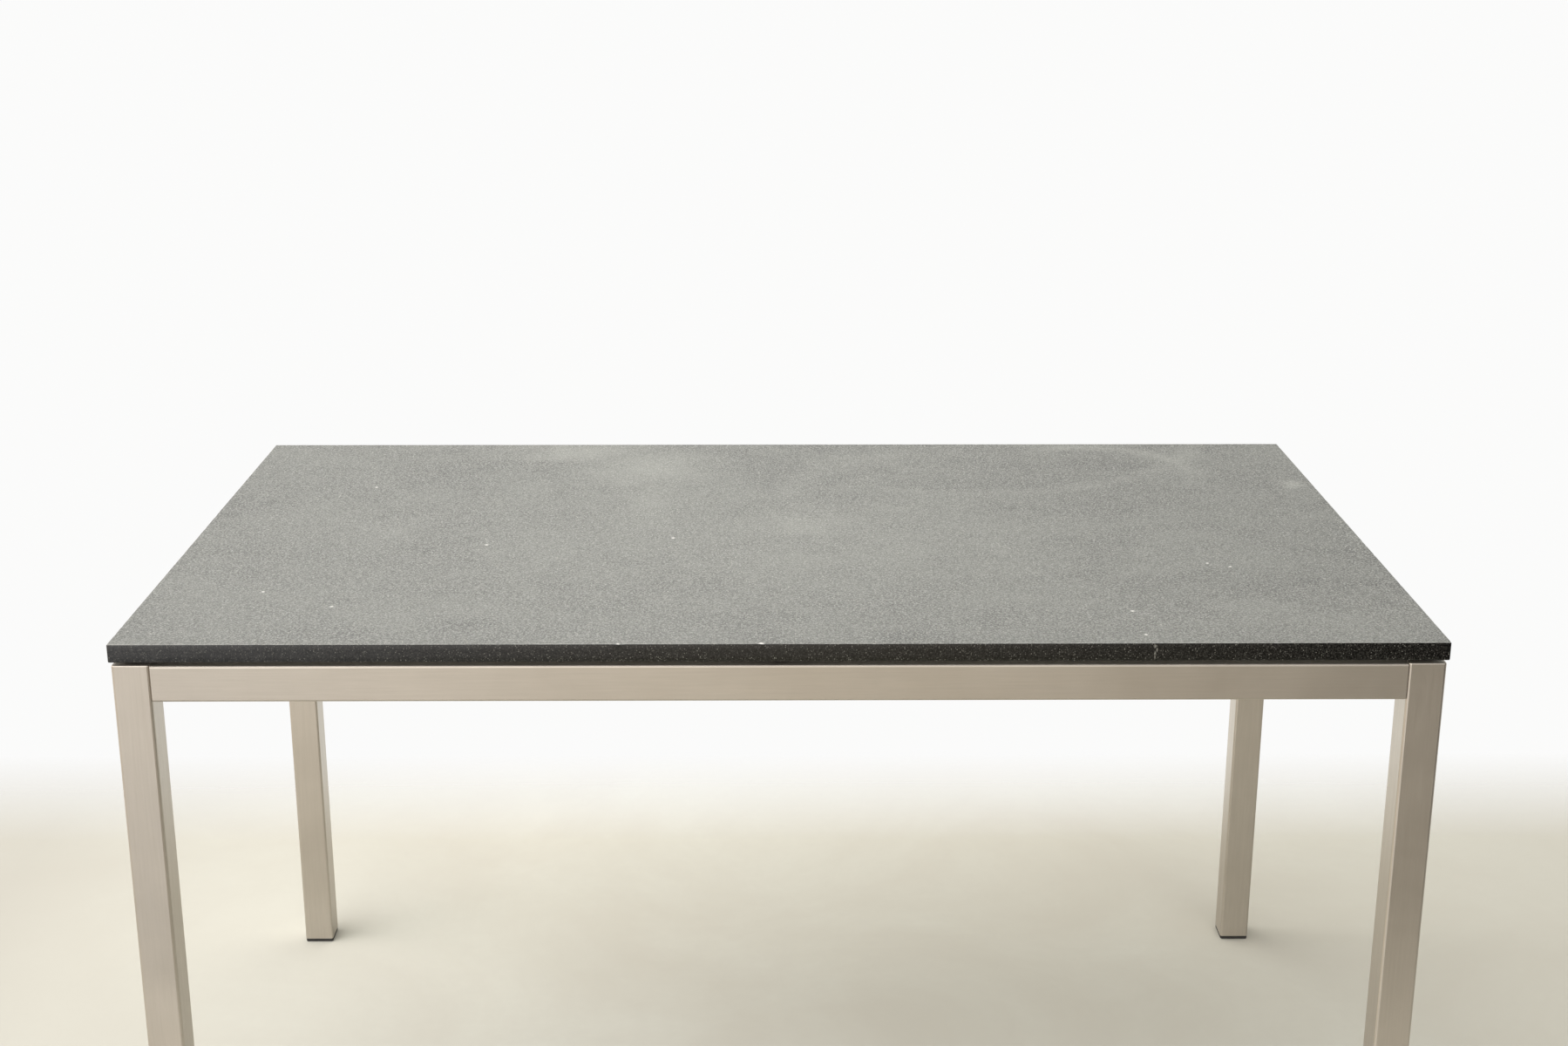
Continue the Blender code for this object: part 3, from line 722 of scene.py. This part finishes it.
def screw_profile(shank, head, head_height, top):
    """A screw's outline from its tip to the crown of its head, as (radius, height)."""
    seat = top - head_height
    profile = [(shank * TIP_RADIUS, -top), (shank, -top + shank * TIP_HEIGHT)]
    profile += [(shank, seat - NECK_HEIGHT), (shank * NECK_RADIUS, seat)]
    profile += [(head * SEAT_RADIUS, seat), (head, seat + head_height * RIM_HEIGHT)]
    for step in range(1, DOME_STEPS + 1):
        angle = math.radians(90 * step / DOME_STEPS)
        radius = head * (CROWN_RADIUS + (1 - CROWN_RADIUS) * math.cos(angle))
        share = RIM_HEIGHT + (1 - RIM_HEIGHT) * math.sin(angle)
        profile.append((radius, seat + head_height * share))
    return profile


def socket_screw(node, sizes, material):
    """A round-headed socket screw in place of a CAD one. Its head faces the room under the slab."""
    shank, head_height, across_flats = sizes
    low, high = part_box(node)
    middle = (low + high) / 2
    spans = high - low
    along = max(range(3), key=lambda i: spans[i])
    out = Vector((0.0, 0.0, 0.0))
    out[along] = -math.copysign(1.0, middle[along])
    side = out.orthogonal().normalized()
    other = out.cross(side)
    top = spans[along] / 2

    turns = [2 * math.pi * i / SCREW_SIDES for i in range(SCREW_SIDES)]
    hexagon = []
    for turn in turns:
        from_flat = turn % math.radians(60) - math.radians(30)
        hexagon.append(across_flats / 2 / math.cos(from_flat))
    profile = screw_profile(shank, min(spans) / 2, head_height, top)
    rings = [([radius] * SCREW_SIDES, z) for radius, z in profile]
    rings.append(([radius * MOUTH_RADIUS for radius in hexagon], top))
    rings.append((hexagon, top - MOUTH_DEPTH))
    rings.append((hexagon, top - head_height + head_height * SOCKET_FLOOR))

    shell = Shell()
    starts = []
    for radii, z in rings:
        sideways = [side * math.cos(turn) + other * math.sin(turn) for turn in turns]
        starts.append(shell.add_points([middle + out * z + s * r for s, r in zip(sideways, radii)]))
    shell.add_face(tuple(reversed(range(SCREW_SIDES))), 0)
    for low_ring, high_ring in zip(starts, starts[1:]):
        shell.add_band(low_ring, high_ring, SCREW_SIDES, 0)
    shell.add_face(tuple(range(starts[-1], len(shell.points))), 0)
    add_piece("visual_" + node, shell, [material], "frame", [node])


def paint_node(node, material):
    """Gives a CAD piece its finish."""
    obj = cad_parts[node]
    obj.data.materials.clear()
    obj.data.materials.append(material)
    shade(obj.data)
    flat = obj.modifiers.new("flat faces", "WEIGHTED_NORMAL")
    flat.keep_sharp = True


# The slab's finishes stand in the order of the honed top, the polished edge, the sawn underside and the
# upper arris with its painted highlight.
honed = honed_top("granite_honed", 0.0)
polished = polished_edge()
sawn = sawn_underside()
highlighted_arris = honed_top("granite_arris", ARRIS_HIGHLIGHT)
stone_slab([honed, polished, sawn, highlighted_arris])

coat_x = satin_coat("coat_along_x", (0.03, 1.0, 1.0))
coat_y = satin_coat("coat_along_y", (1.0, 0.03, 1.0))
coat_z = satin_coat("coat_along_z", (1.0, 1.0, 0.03))
bolt_zinc = zinc_plate("bolt_zinc", (0.60, 0.61, 0.62), (0.72, 0.71, 0.66))
plate_zinc = zinc_plate("bracket_zinc", (0.50, 0.51, 0.52), (0.62, 0.61, 0.58))
plastic = black_plastic()
rubber = black_rubber()

for corner in CORNERS:
    paint_node("leg_" + corner, coat_z)
    paint_node("bracket_" + corner, plate_zinc)
    paint_node("foot_" + corner, plastic)
    paint_node("leg_pad_" + corner, rubber)
    for level in ("upper", "lower"):
        paint_node(f"rivet_nut_{level}_{corner}", bolt_zinc)
for side, coat in (("front", coat_x), ("back", coat_x), ("left", coat_y), ("right", coat_y)):
    paint_node("rail_" + side, coat)
paint_node("cross_rail", coat_y)
for end in ENDS:
    paint_node("cross_pad_" + end, rubber)

for corner in CORNERS:
    for level in ("upper", "lower"):
        socket_screw(f"leg_bolt_{level}_{corner}", LEG_BOLT, bolt_zinc)
    for tab in ("a1", "a2", "b1", "b2"):
        socket_screw(f"rail_screw_{tab}_{corner}", RAIL_SCREW, bolt_zinc)
for end in ENDS:
    for half in ("left", "right"):
        socket_screw(f"cross_rail_screw_{end}_{half}", RAIL_SCREW, bolt_zinc)


# ---------------------------------------------------------------- studio

# The floor lies just under the feet. It clears to white between these distances from the middle.
FLOOR_LEVEL = -0.0003
FLOOR_REACH = 6.0
CLEAR_SIDES = (1.4, 2.5)
CLEAR_BACK = (0.70, 1.05)
CLEAR_FRONT = (-0.75, -1.15)


def make_floor():
    """A pale floor with faint troweled mottling, and painted shade that makes it a little darker out to the
    sides.
    """
    mesh = bpy.data.meshes.new("floor")
    ends = ((-1, -1), (1, -1), (1, 1), (-1, 1))
    mesh.from_pydata([(FLOOR_REACH * x, FLOOR_REACH * y, FLOOR_LEVEL) for x, y in ends], [], [(0, 1, 2, 3)])
    obj = bpy.data.objects.new("floor", mesh)
    bpy.context.scene.collection.objects.link(obj)
    material, tree, shader, where = new_material("pale_floor", Roughness=0.7, Specular_IOR_Level=0.3)
    patches = noise(tree, where, 2.2, 6.0, 0.62, 0.6)
    fine = noise(tree, where, 45.0, 5.0, 0.65)
    parts = parts_of(tree, where)
    # Painted shade: the floor is darker out to the left and right, to even out the lamps' brighter light on
    # it there.
    painted_shade_left = fit(tree, parts["X"], -0.4, -1.2, 0.0, 0.85)
    rightward = fit(tree, parts["X"], 0.4, 1.2, 0.0, 0.5)
    painted_shade_outward = maths(tree, "MAXIMUM", painted_shade_left, rightward)
    tone = blend(tree, fit(tree, patches, 0.3, 0.7), (0.59, 0.57, 0.49), (0.66, 0.66, 0.58))
    tone = blend(tree, fit(tree, fine, 0.3, 0.7, 0.0, 0.25), tone, (0.58, 0.57, 0.50))
    tone = blend(tree, painted_shade_outward, tone, (0.43, 0.42, 0.37))
    tree.links.new(tone, shader.inputs["Base Color"])
    across = fit(tree, maths(tree, "ABSOLUTE", parts["X"]), *CLEAR_SIDES)
    behind = fit(tree, parts["Y"], *CLEAR_BACK)
    before = fit(tree, parts["Y"], *CLEAR_FRONT)
    cleared = strongest(tree, [across, behind, before])
    tree.links.new(maths(tree, "SUBTRACT", 1.0, cleared), shader.inputs["Alpha"])
    add_bump(tree, shader, fine, 0.1, 0.001)
    mesh.materials.append(material)


# Soft light by direction. Each row is (how far to the right from -1 to 1, colour).
FRONT_HIGH = (
    (-0.75, (0.36, 0.28, 0.20)),
    (-0.35, (0.63, 0.63, 0.65)),
    (0.0, (0.41, 0.37, 0.32)),
    (0.29, (0.006, 0.005, 0.004)),
    (0.75, (0.015, 0.014, 0.013)),
)
FRONT_LOW = (
    (-0.75, (0.13, 0.13, 0.13)),
    (-0.35, (0.13, 0.14, 0.16)),
    (0.0, (0.21, 0.19, 0.14)),
    (0.35, (0.006, 0.005, 0.004)),
    (0.75, (0.015, 0.014, 0.013)),
)
BACK = (
    (-0.7, (0.32, 0.32, 0.31)),
    (-0.25, (0.32, 0.32, 0.31)),
    (0.0, (0.31, 0.31, 0.30)),
    (0.25, (0.29, 0.29, 0.28)),
    (0.7, (0.28, 0.28, 0.27)),
)
ABOVE_FRONT = (
    (-0.6, (0.86, 0.85, 0.85)),
    (0.0, (0.59, 0.59, 0.58)),
    (0.6, (0.045, 0.040, 0.040)),
)
ABOVE_BACK = (
    (-0.6, (0.095, 0.085, 0.070)),
    (0.0, (0.065, 0.050, 0.035)),
    (0.6, (0.075, 0.060, 0.045)),
)
SKY_STRENGTH = 4.0
SEEN_COLOUR = (0.965, 0.965, 0.96, 1.0)

# Between which values of a direction's upward part, or its backward part, the rows blend.
LOW_TO_HIGH = (-0.42, -0.18)
FRONT_TO_ABOVE = (0.05, 0.45)
BACK_TO_ABOVE = (0.35, 0.65)
BACK_TO_FRONT = (0.25, -0.25)


def sky_row(tree, rightward, stops):
    """A row of colours from left to right."""
    made = put(tree, "ShaderNodeValToRGB", {0: fit(tree, rightward, -1.0, 1.0)})
    places = [(place + 1) / 2 for place, _colour in stops]
    elements = made.color_ramp.elements
    elements[0].position, elements[1].position = places[0], places[-1]
    for place in places[1:-1]:
        elements.new(place)
    for element, (_place, colour) in zip(elements, stops):
        element.color = (*colour, 1.0)
    return made.outputs[0]


def make_world():
    """Soft light by direction. The camera itself sees a plain pale backdrop."""
    world = bpy.data.worlds.new("studio")
    bpy.context.scene.world = world
    world.use_nodes = True
    tree = world.node_tree
    tree.nodes.clear()
    parts = parts_of(tree, put(tree, "ShaderNodeTexCoord").outputs["Generated"])
    rightward, upward = parts["X"], parts["Z"]
    high = sky_row(tree, rightward, FRONT_HIGH)
    low = sky_row(tree, rightward, FRONT_LOW)
    front = blend(tree, fit(tree, upward, *LOW_TO_HIGH), low, high)
    front = blend(tree, fit(tree, upward, *FRONT_TO_ABOVE), front, sky_row(tree, rightward, ABOVE_FRONT))
    back = sky_row(tree, rightward, BACK)
    back = blend(tree, fit(tree, upward, *BACK_TO_ABOVE), back, sky_row(tree, rightward, ABOVE_BACK))
    sky = blend(tree, fit(tree, parts["Y"], *BACK_TO_FRONT), back, front)
    glow = put(tree, "ShaderNodeBackground", {"Color": sky, "Strength": SKY_STRENGTH})
    seen = put(tree, "ShaderNodeBackground", {"Color": SEEN_COLOUR, "Strength": 1.0})
    ray = put(tree, "ShaderNodeLightPath").outputs["Is Camera Ray"]
    mixed = put(tree, "ShaderNodeMixShader", {0: ray, 1: glow.outputs[0], 2: seen.outputs[0]})
    put(tree, "ShaderNodeOutputWorld", {"Surface": mixed.outputs[0]})


def add_light(name, place, aim, size, watts, colour):
    """A rectangular lamp that faces a point."""
    light = bpy.data.lights.new(name, "AREA")
    light.shape = "RECTANGLE"
    light.size, light.size_y = size
    light.energy = watts
    light.color = colour
    obj = bpy.data.objects.new(name, light)
    obj.location = place
    obj.rotation_euler = (Vector(aim) - Vector(place)).to_track_quat("-Z", "Y").to_euler()
    bpy.context.scene.collection.objects.link(obj)


def make_camera():
    camera = bpy.data.cameras.new("camera")
    camera.lens = CAMERA_LENS
    camera.sensor_width = FILM_WIDTH
    obj = bpy.data.objects.new("camera", camera)
    turn = Matrix.Rotation(CAMERA_TURN, 4, "Z") @ Matrix.Rotation(math.pi / 2 - CAMERA_TILT, 4, "X")
    obj.matrix_world = Matrix.Translation(CAMERA_PLACE) @ turn @ Matrix.Rotation(CAMERA_ROLL, 4, "Z")
    bpy.context.scene.collection.objects.link(obj)
    bpy.context.scene.camera = obj


make_floor()
make_world()
add_light("window_left", (-2.8, 0.0, 2.0), (0.0, 0.0, 0.6), (2.2, 1.8), 25.3, (1.0, 0.90, 0.945))
add_light("soft_above", (-0.45, 0.9, 2.3), (-0.1, 0.1, 0.7), (1.6, 1.2), 17.4, (1.0, 0.99, 0.95))
make_camera()
bpy.context.scene.view_settings.view_transform = "Standard"
bpy.context.scene.view_settings.look = "None"
